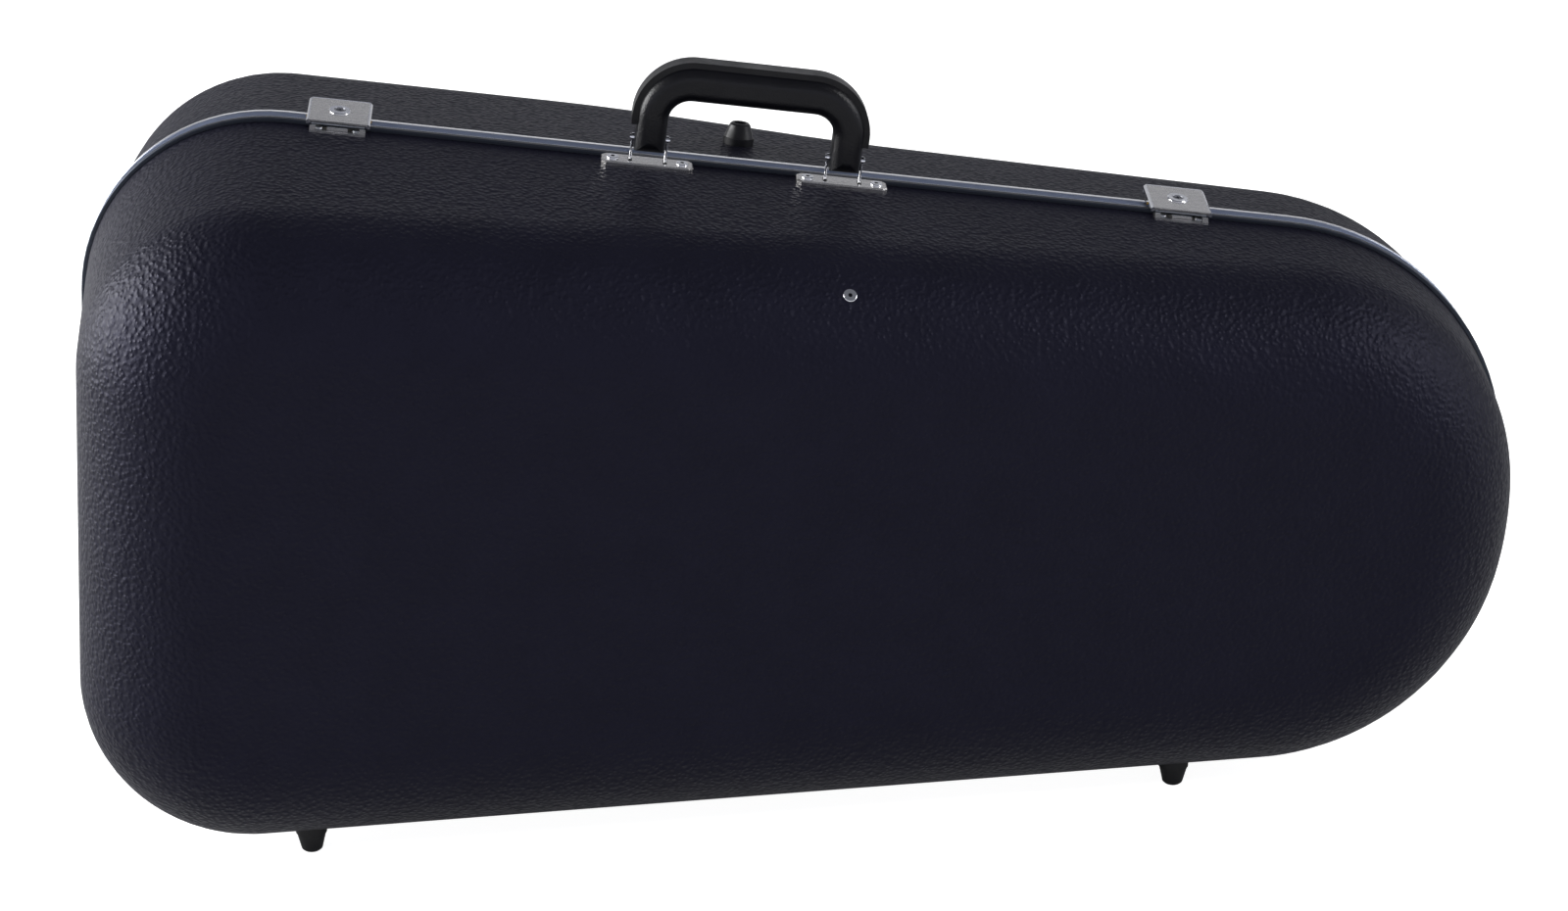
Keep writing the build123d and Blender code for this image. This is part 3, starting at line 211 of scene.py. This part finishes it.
tone = add(tree, "ShaderNodeMix", {"Factor": scuff.outputs["Fac"], "A": linear("#0b0b12"),
                                   "B": linear("#101019")}, data_type="RGBA")
tree.links.new(tone.outputs["Result"], shader.inputs["Base Color"])
tree.links.new(mould.outputs[0], shader.inputs["Normal"])
tree.links.new(rough.outputs["Result"], shader.inputs["Roughness"])
shader.inputs["IOR"].default_value = 1.25
shader.inputs["Specular Tint"].default_value = linear("#c9c8f2")
finish_node(("front_shell", "lid_shell"), abs_shell)

# Valances. Extruded aluminium, anodised a cool grey, with fine draw lines along the sides. The rim edges
# are polished, the sides and recess rougher. Painted highlight and shade: upward faces are coloured near
# white, side faces grey, the recess dark.
aluminium, tree, shader = new_material("anodised_aluminium", "#b9bfca", 0.28, 1.0)
place = add(tree, "ShaderNodeNewGeometry")
facing = add(tree, "ShaderNodeSeparateXYZ", {0: place.outputs["Normal"]})
# The side-facing mask picks faces that look to the front or back. It makes them rougher and colours them
# darker as painted shade.
side_on = add(tree, "ShaderNodeMath", {0: facing.outputs["Y"]}, operation="ABSOLUTE")
side_facing_mask = add(tree, "ShaderNodeMapRange", {"Value": side_on.outputs[0], "From Min": 0.3, "From Max": 0.8})
where = add(tree, "ShaderNodeSeparateXYZ", {0: place.outputs["Position"]})
lines = add(tree, "ShaderNodeTexNoise", {"W": where.outputs["Y"], "Scale": 2600.0, "Detail": 2.0},
            noise_dimensions="1D")
front_rim_width = 0.0039
lid_rim_width = 0.0121
rim_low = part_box("front_valance")[0].y + front_rim_width
rim_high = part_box("lid_valance")[1].y - lid_rim_width
past_front = add(tree, "ShaderNodeMath", {0: where.outputs["Y"], 1: rim_low}, operation="GREATER_THAN")
before_lid = add(tree, "ShaderNodeMath", {0: where.outputs["Y"], 1: rim_high}, operation="LESS_THAN")
recess = add(tree, "ShaderNodeMath", {0: past_front.outputs[0], 1: before_lid.outputs[0]},
             operation="MULTIPLY")
# Painted highlight and painted shade: up-facing faces are coloured near white and side faces a darker grey.
painted_rim_light = add(tree, "ShaderNodeMix", {"Factor": side_facing_mask.outputs["Result"], "A": linear("#f4f5f7"),
                                       "B": linear("#858d9f")}, data_type="RGBA")
# Painted shade: the recess between the two rims is coloured dark grey, and it is also rougher.
tone = add(tree, "ShaderNodeMix", {"Factor": recess.outputs[0], "A": painted_rim_light.outputs["Result"],
                                   "B": linear("#3c4048")}, data_type="RGBA")
dull = add(tree, "ShaderNodeMath", {0: side_facing_mask.outputs["Result"], 1: recess.outputs[0]},
           operation="MAXIMUM")
rough = add(tree, "ShaderNodeMapRange", {"Value": dull.outputs[0], "To Min": 0.14, "To Max": 0.42})
drawn = add(tree, "ShaderNodeBump", {"Height": lines.outputs["Fac"], "Strength": 0.15, "Distance": 0.0001})
tree.links.new(tone.outputs["Result"], shader.inputs["Base Color"])
tree.links.new(rough.outputs["Result"], shader.inputs["Roughness"])
tree.links.new(drawn.outputs[0], shader.inputs["Normal"])
finish_node(("front_valance", "lid_valance"), aluminium)

# Pressed fittings. Steel sheet, nickel plated and fine brushed along the case: handle plates,
# keepers, hinge leaves, latch bases and the latch covers.
nickel, tree, shader = new_material("satin_nickel", "#dad8d5", 0.24, 1.0)
place = add(tree, "ShaderNodeTexCoord")
along = add(tree, "ShaderNodeMapping", {"Vector": place.outputs["Object"], "Scale": (60.0, 2400.0, 900.0)})
brush = add(tree, "ShaderNodeTexNoise", {"Vector": along.outputs[0], "Scale": 1.0, "Detail": 4.0})
rough = add(tree, "ShaderNodeMapRange", {"Value": brush.outputs["Fac"], "From Min": 0.3, "From Max": 0.7,
                                         "To Min": 0.2, "To Max": 0.32})
marks = add(tree, "ShaderNodeBump", {"Height": brush.outputs["Fac"], "Strength": 0.02, "Distance": 0.0002})
tree.links.new(rough.outputs["Result"], shader.inputs["Roughness"])
tree.links.new(marks.outputs[0], shader.inputs["Normal"])
finish_node([name for name in node if name.endswith(("handle_plate", "keeper", "leaf", "latch_base",
                                                      "latch_cover"))], nickel)

# Bright parts. Chrome over nickel on pressed and turned steel, with faint polishing haze.
chrome, tree, shader = new_material("polished_chrome", "#e3e4e7", 0.08, 1.0)
place = add(tree, "ShaderNodeTexCoord")
haze = add(tree, "ShaderNodeTexNoise", {"Vector": place.outputs["Object"], "Scale": 420.0, "Detail": 3.0})
rough = add(tree, "ShaderNodeMapRange", {"Value": haze.outputs["Fac"], "From Min": 0.35, "From Max": 0.75,
                                         "To Min": 0.06, "To Max": 0.2})
tree.links.new(rough.outputs["Result"], shader.inputs["Roughness"])
finish_node([name for name in node if name.endswith(("latch_lever", "lock_ring", "stirrup", "handle_pins",
                                                      "plate_rivets", "strap_rivet"))], chrome)

# Pins, small rivets, claws and screws. Bright zinc on steel wire and sheet.
zinc, tree, shader = new_material("zinc_plated_steel", "#a9adb3", 0.35, 1.0)
place = add(tree, "ShaderNodeTexCoord")
bloom = add(tree, "ShaderNodeTexNoise", {"Vector": place.outputs["Object"], "Scale": 700.0, "Detail": 4.0})
rough = add(tree, "ShaderNodeMapRange", {"Value": bloom.outputs["Fac"], "From Min": 0.3, "From Max": 0.7,
                                         "To Min": 0.26, "To Max": 0.46})
tree.links.new(rough.outputs["Result"], shader.inputs["Roughness"])
finish_node([name for name in node if name.endswith(("latch_claw", "latch_pivot", "hinge_pin", "flap_pin",
                                                      "base_rivets", "keeper_rivets", "hinge_rivets",
                                                      "screws", "rest_screw", "washer"))], zinc)

# Claw pins and lock barrels. The pins are bare turned brass, a little tarnished where it isn't
# rubbed, and the barrels are brass under dull nickel.
brass, tree, shader = new_material("turned_brass", "#c29a4c", 0.28, 1.0)
place = add(tree, "ShaderNodeTexCoord")
stain = add(tree, "ShaderNodeTexNoise", {"Vector": place.outputs["Object"], "Scale": 500.0, "Detail": 4.0})
tone = add(tree, "ShaderNodeMix", {"Factor": stain.outputs["Fac"], "A": linear("#a67f38"),
                                   "B": linear("#d3ae66")}, data_type="RGBA")
tree.links.new(tone.outputs["Result"], shader.inputs["Base Color"])
finish_node([name for name in node if name.endswith("claw_pin")], brass)
barrel_metal, tree, shader = new_material("nickelled_brass_barrel", "#8e8f94", 0.3, 1.0)
place = add(tree, "ShaderNodeTexCoord")
stain = add(tree, "ShaderNodeTexNoise", {"Vector": place.outputs["Object"], "Scale": 900.0, "Detail": 4.0})
rough = add(tree, "ShaderNodeMapRange", {"Value": stain.outputs["Fac"], "To Min": 0.2, "To Max": 0.45})
tree.links.new(rough.outputs["Result"], shader.inputs["Roughness"])
finish_node([name for name in node if name.endswith("lock_barrel")], barrel_metal)

# Handle. Black PVC moulded over a steel strip in one piece, with a fine leather grain.
grip_plastic, tree, shader = new_material("moulded_grip", "#060609", 0.3)
shader.inputs["IOR"].default_value = 1.33
place = add(tree, "ShaderNodeTexCoord")
pore = add(tree, "ShaderNodeTexVoronoi", {"Vector": place.outputs["Object"], "Scale": 950.0},
           feature="SMOOTH_F1")
wave = add(tree, "ShaderNodeTexNoise", {"Vector": place.outputs["Object"], "Scale": 60.0, "Detail": 2.0})
fine = add(tree, "ShaderNodeBump", {"Height": pore.outputs["Distance"], "Strength": 0.4,
                                    "Distance": 0.0003}, invert=True)
soft = add(tree, "ShaderNodeBump", {"Height": wave.outputs["Fac"], "Normal": fine.outputs[0],
                                    "Strength": 0.15, "Distance": 0.001})
rough = add(tree, "ShaderNodeMapRange", {"Value": wave.outputs["Fac"], "From Min": 0.3, "From Max": 0.7,
                                         "To Min": 0.28, "To Max": 0.42})
tree.links.new(soft.outputs[0], shader.inputs["Normal"])
tree.links.new(rough.outputs["Result"], shader.inputs["Roughness"])
finish_node(("handle",), grip_plastic)

# Feet and handle rest. Black moulded rubber, turned-looking cones with a slight sheen.
rubber, tree, shader = new_material("moulded_rubber", "#0c0c0f", 0.42)
shader.inputs["IOR"].default_value = 1.35
place = add(tree, "ShaderNodeTexCoord")
bloom = add(tree, "ShaderNodeTexNoise", {"Vector": place.outputs["Object"], "Scale": 240.0, "Detail": 5.0})
rough = add(tree, "ShaderNodeMapRange", {"Value": bloom.outputs["Fac"], "From Min": 0.3, "From Max": 0.7,
                                         "To Min": 0.3, "To Max": 0.52})
skin = add(tree, "ShaderNodeBump", {"Height": bloom.outputs["Fac"], "Strength": 0.15, "Distance": 0.0003})
tree.links.new(rough.outputs["Result"], shader.inputs["Roughness"])
tree.links.new(skin.outputs[0], shader.inputs["Normal"])
finish_node(("front_feet", "lid_feet", "handle_rest"), rubber)

# Linings. Foam sheet glued inside the shells and covered with short black plush. The pile is
# 1 mm long, lies in slightly different ways over the surface and catches light at its edges.
plush, tree, shader = new_material("short_plush", "#17171d", 0.95)
shader.inputs["Sheen Weight"].default_value = 0.7
shader.inputs["Sheen Roughness"].default_value = 0.35
shader.inputs["Sheen Tint"].default_value = linear("#6c6f86")
shader.inputs["Specular IOR Level"].default_value = 0.2
place = add(tree, "ShaderNodeTexCoord")
nap = add(tree, "ShaderNodeTexNoise", {"Vector": place.outputs["Object"], "Scale": 22.0, "Detail": 3.0})
tuft = add(tree, "ShaderNodeTexNoise", {"Vector": place.outputs["Object"], "Scale": 850.0, "Detail": 3.0})
tone = add(tree, "ShaderNodeMix", {"Factor": nap.outputs["Fac"], "A": linear("#121218"),
                                   "B": linear("#202028")}, data_type="RGBA")
pile = add(tree, "ShaderNodeBump", {"Height": tuft.outputs["Fac"], "Strength": 0.8, "Distance": 0.0008})
lie = add(tree, "ShaderNodeBump", {"Height": nap.outputs["Fac"], "Normal": pile.outputs[0],
                                   "Strength": 0.3, "Distance": 0.004})
tree.links.new(tone.outputs["Result"], shader.inputs["Base Color"])
tree.links.new(lie.outputs[0], shader.inputs["Normal"])


def settled(piece):
    """Applies a piece's modifiers to its mesh."""
    graph = bpy.context.evaluated_depsgraph_get()
    mesh = bpy.data.meshes.new_from_object(piece.evaluated_get(graph))
    piece.modifiers.clear()
    piece.data = mesh


def over_solid(name, solid, voxel, smoothing):
    """A soft skin over a foam solid: its edges are rounded off by the stretched cover."""
    piece = bpy.data.objects.new(name, node[solid].data.copy())
    bpy.context.scene.collection.objects.link(piece)
    piece.data.materials.clear()
    piece.data.materials.append(plush)
    foam = piece.modifiers.new("foam", "REMESH")
    foam.mode = "VOXEL"
    foam.voxel_size = voxel
    foam.use_smooth_shade = True
    stretch = piece.modifiers.new("stretch", "SMOOTH")
    stretch.factor = 0.5
    stretch.iterations = smoothing
    settled(piece)
    wide_swell, fine_swell = 0.0005, 0.0002
    lifted = []
    for vertex in piece.data.vertices:
        bulge = noise.noise(vertex.co * 28.0) * wide_swell + noise.noise(vertex.co * 110.0) * fine_swell
        lifted.extend(vertex.co + vertex.normal * bulge)
    piece.data.vertices.foreach_set("co", lifted)
    piece.data.update()
    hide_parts(solid)
    return piece


for name, solid, body in (("front_plush_lining", "front_lining", "case_front"),
                          ("lid_plush_lining", "lid_lining", "lid")):
    lining = over_solid(name, solid, 0.005, 3)
    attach(lining, body)


# Cradles and pads. Cut foam blocks in plush sleeves, pulled tight over their edges and plump in
# between, glued to the linings: two saddles for the horn, a pad in the lid and a small block.
def plump(piece, swell):
    """Lets the foam press the sleeve outward, and holds each point to a small swell."""
    before = [vertex.co.copy() for vertex in piece.data.vertices]
    cloth = piece.modifiers.new("sleeve", "CLOTH")
    cloth.settings.use_pressure = True
    cloth.settings.uniform_pressure_force = 4.0
    cloth.settings.effector_weights.gravity = 0.0
    press_frames = 20
    for frame_number in range(1, press_frames + 1):
        bpy.context.scene.frame_set(frame_number)
    settled(piece)
    bpy.context.scene.frame_set(1)
    for vertex, old in zip(piece.data.vertices, before):
        move = vertex.co - old
        if move.length > swell:
            vertex.co = old + move.normalized() * swell
    piece.data.update()


sleeve_swell = 0.0018
for solid, body, voxel in (("bell_cradle", "case_front", 0.005), ("bow_cradle", "case_front", 0.005),
                           ("lid_pad", "lid", 0.005), ("mouthpiece_block", "case_front", 0.003)):
    block = over_solid("plush_" + solid, solid, voxel, 6)
    plump(block, sleeve_swell)
    block.data.polygons.foreach_set("use_smooth", [True] * len(block.data.polygons))
    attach(block, body)

# Accessory compartment and its flap. Thin plywood with the same plush glued over it.
board_plush = plush.copy()
board_plush.name = "plush_over_board"
finish_node(("accessory_tray", "accessory_flap"), board_plush)

# Pull tab. A strip of dark brown bridle leather on the flap, with rounded, burnished edges.
leather, tree, shader = new_material("bridle_leather", "#2a1d16", 0.5)
place = add(tree, "ShaderNodeTexCoord")
hide = add(tree, "ShaderNodeTexVoronoi", {"Vector": place.outputs["Object"], "Scale": 1100.0},
           feature="SMOOTH_F1")
cloud = add(tree, "ShaderNodeTexNoise", {"Vector": place.outputs["Object"], "Scale": 150.0, "Detail": 4.0})
tone = add(tree, "ShaderNodeMix", {"Factor": cloud.outputs["Fac"], "A": linear("#21160f"),
                                   "B": linear("#35261c")}, data_type="RGBA")
pores = add(tree, "ShaderNodeBump", {"Height": hide.outputs["Distance"], "Strength": 0.4,
                                     "Distance": 0.0002}, invert=True)
tree.links.new(tone.outputs["Result"], shader.inputs["Base Color"])
tree.links.new(pores.outputs[0], shader.inputs["Normal"])
tab = bpy.data.objects.new("leather_tab", node["flap_tab"].data.copy())
bpy.context.scene.collection.objects.link(tab)
tab.data.materials.clear()
tab.data.materials.append(leather)
worn = tab.modifiers.new("worn", "REMESH")
worn.mode = "VOXEL"
worn.voxel_size = 0.0006
worn.use_smooth_shade = True
burnished = tab.modifiers.new("burnished", "SMOOTH")
burnished.iterations = 4
settled(tab)
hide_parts("flap_tab")
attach(tab, "accessory_flap")

# Instrument strap. 25 mm polyester webbing held by the shoulder rivet and its washer. It hangs
# down along the lining.
webbing, tree, shader = new_material("polyester_webbing", "#15151a", 0.7)
shader.inputs["Sheen Weight"].default_value = 0.2
cloth_map = add(tree, "ShaderNodeUVMap")
strand = add(tree, "ShaderNodeTexWave", {"Vector": cloth_map.outputs[0], "Scale": 0.5, "Distortion": 0.0},
             bands_direction="X", wave_profile="SIN")
rib = add(tree, "ShaderNodeTexWave", {"Vector": cloth_map.outputs[0], "Scale": 0.3, "Distortion": 0.0},
          bands_direction="Y", wave_profile="SIN")
weave = add(tree, "ShaderNodeMath", {0: strand.outputs["Fac"], 1: rib.outputs["Fac"]}, operation="MULTIPLY")
# Painted shade and highlight of the weave: the colour is darker where the weave sinks and lighter on its
# raised crossings.
tone = add(tree, "ShaderNodeMix", {"Factor": weave.outputs[0], "A": linear("#0d0d11"),
                                   "B": linear("#24242c")}, data_type="RGBA")
raised = add(tree, "ShaderNodeBump", {"Height": weave.outputs[0], "Strength": 0.7, "Distance": 0.0005})
tree.links.new(tone.outputs["Result"], shader.inputs["Base Color"])
tree.links.new(raised.outputs[0], shader.inputs["Normal"])

strap_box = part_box("instrument_strap")
lining_piece = bpy.data.objects["front_plush_lining"]
strap_x = (strap_box[0].x + strap_box[1].x) / 2
strap_steps = 60
end_room = 0.002
probe_start = 0.02
longest_step = 0.012
pile_height = 0.0006
strap_line = []
for i in range(strap_steps + 1):
    height_now = (strap_box[0].z + end_room
                  + (strap_box[1].z - strap_box[0].z - 2 * end_room) * i / strap_steps)
    start = Vector((strap_x, strap_box[1].y + probe_start, height_now))
    hit, spot = lining_piece.ray_cast(start, Vector((0, -1, 0)))[:2]
    if hit and (not strap_line or (spot - strap_line[-1]).length < longest_step):
        strap_line.append(spot + Vector((0, pile_height, 0)))
half_width = 0.0122
thickness = 0.0016
edge_share = 0.75
underside = 0.0001
across = (-1.0, -0.94, -0.5, 0.0, 0.5, 0.94, 1.0)
points = []
walked = 0.0
lengths = []
for i, spot in enumerate(strap_line):
    before = strap_line[max(i - 1, 0)]
    after = strap_line[min(i + 1, len(strap_line) - 1)]
    run = (after - before).normalized()
    lift = run.cross(Vector((-1, 0, 0))).normalized()
    if lift.y < 0:
        lift = -lift
    walked += (spot - before).length
    lengths.append(walked)
    for share in across:
        crown = thickness * (1.0 if abs(share) < 0.9 else edge_share)
        points.append(spot + Vector((share * half_width, 0, 0)) + lift * crown)
    for share in reversed(across):
        points.append(spot + Vector((share * half_width, 0, 0)) + lift * underside)
around = 2 * len(across)
faces = [(i * around + j, i * around + (j + 1) % around, (i + 1) * around + (j + 1) % around,
          (i + 1) * around + j) for i in range(len(strap_line) - 1) for j in range(around)]
faces.append(tuple(range(around)))
faces.append(tuple(reversed(range((len(strap_line) - 1) * around, len(strap_line) * around))))
band = mesh_piece("instrument_webbing", points, faces)
layer = band.data.uv_layers.new(name="cloth")
per_metre = 1000
for loop in band.data.loops:
    row_index, place_index = divmod(loop.vertex_index, around)
    share = across[place_index] if place_index < len(across) else across[around - 1 - place_index]
    layer.data[loop.index].uv = (share * half_width * per_metre, lengths[row_index] * per_metre)
band.data.materials.append(webbing)
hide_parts("instrument_strap")
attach(band, "case_front")
